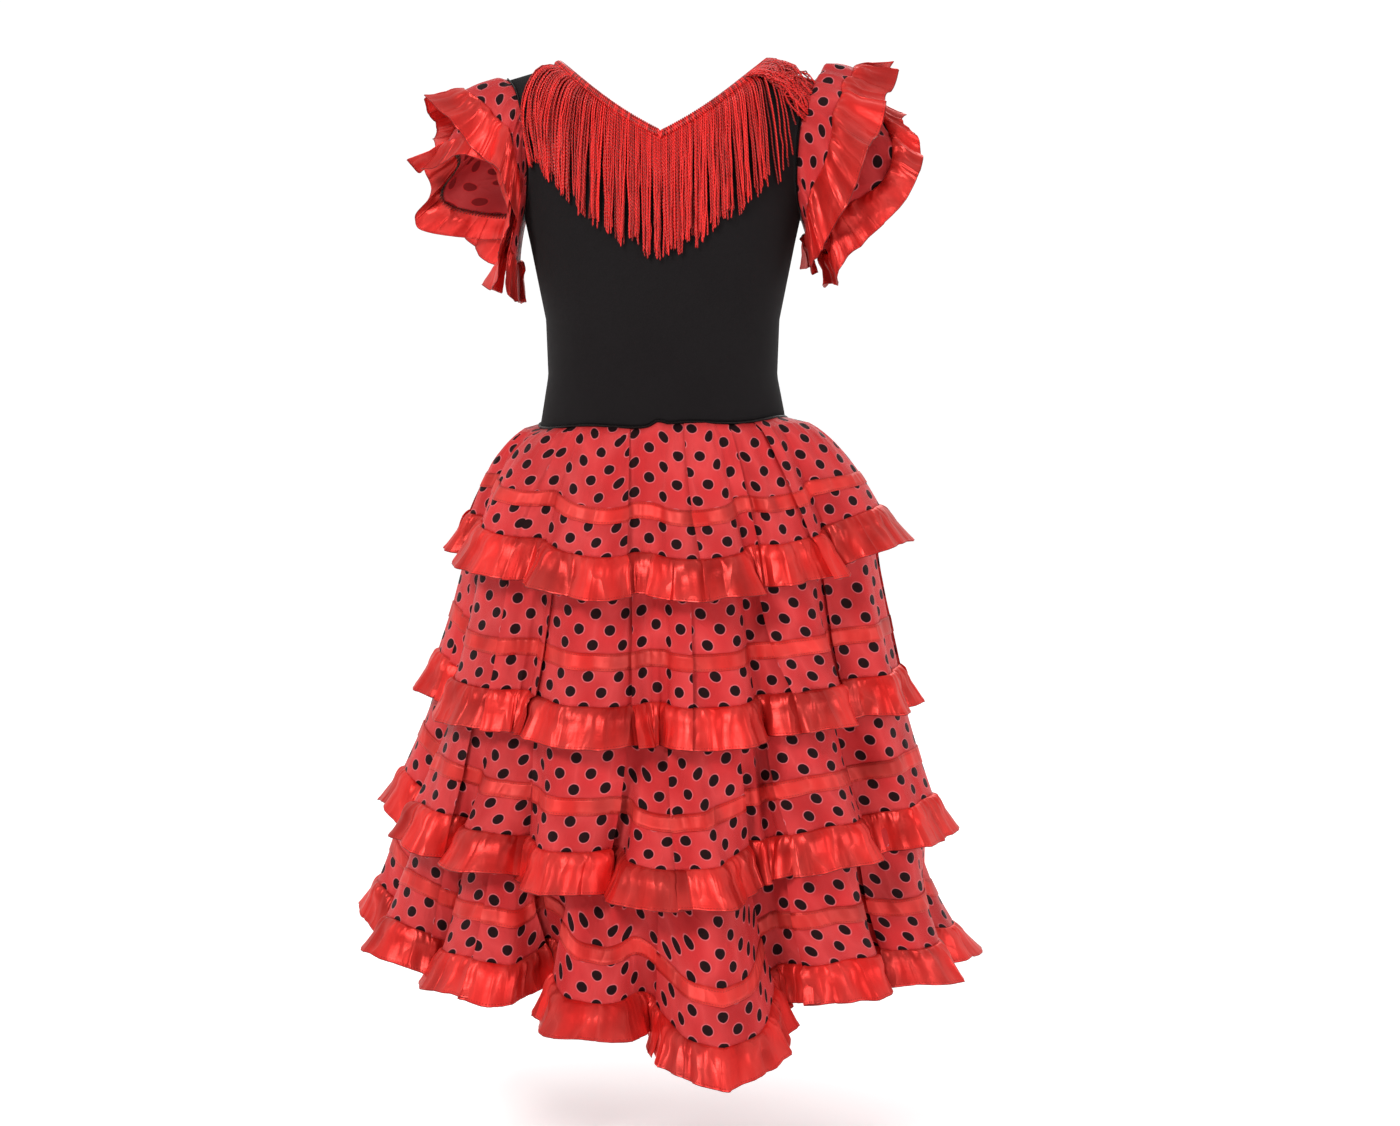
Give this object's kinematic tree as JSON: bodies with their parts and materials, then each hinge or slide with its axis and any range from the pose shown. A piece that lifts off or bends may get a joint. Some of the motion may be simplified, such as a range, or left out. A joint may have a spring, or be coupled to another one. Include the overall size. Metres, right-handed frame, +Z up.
{
  "type": "flamenco dress",
  "caption": "Child's flamenco dress: black knit bodice, fringed V neck, ruffled cap sleeves and a tiered dotted skirt with satin ruffles, filled out and open inside.",
  "frame": {"origin": "on the centre line, level with and midway between the shoulder tips", "axes": "+Z up, the front of the dress faces -Y, +X to the right as seen from the front"},
  "size_m": [0.632, 0.5276, 0.9404],
  "materials": {
    "knit": "matte fine stretch knit",
    "dotted_cloth": "satin-weave polyester with near-black round dots",
    "satin": "glossy satin",
    "ribbon": "glossy satin ribbon",
    "fringe": "twisted rayon fringe cord"
  },
  "bodies": {
    "root": {"bodice_front": "knit", "bodice_back": "knit", "tier_1_panel": "dotted_cloth", "tier_1_ribbon": "ribbon", "tier_1_ruffle": "satin", "tier_2_panel": "dotted_cloth", "tier_2_ribbon": "ribbon", "tier_2_ruffle": "satin", "tier_3_panel": "dotted_cloth", "tier_3_ribbon": "ribbon", "tier_3_ruffle": "satin", "tier_4_panel": "dotted_cloth", "tier_4_ribbon": "ribbon", "tier_4_ruffle": "satin", "sleeve_left_upper": "dotted_cloth", "sleeve_left_upper_edge": "satin", "sleeve_left_lower": "dotted_cloth", "sleeve_left_lower_edge": "satin", "sleeve_right_upper": "dotted_cloth", "sleeve_right_upper_edge": "satin", "sleeve_right_lower": "dotted_cloth", "sleeve_right_lower_edge": "satin", "fringe_front": "fringe", "fringe_back": "fringe"}
  },
  "joints": []
}
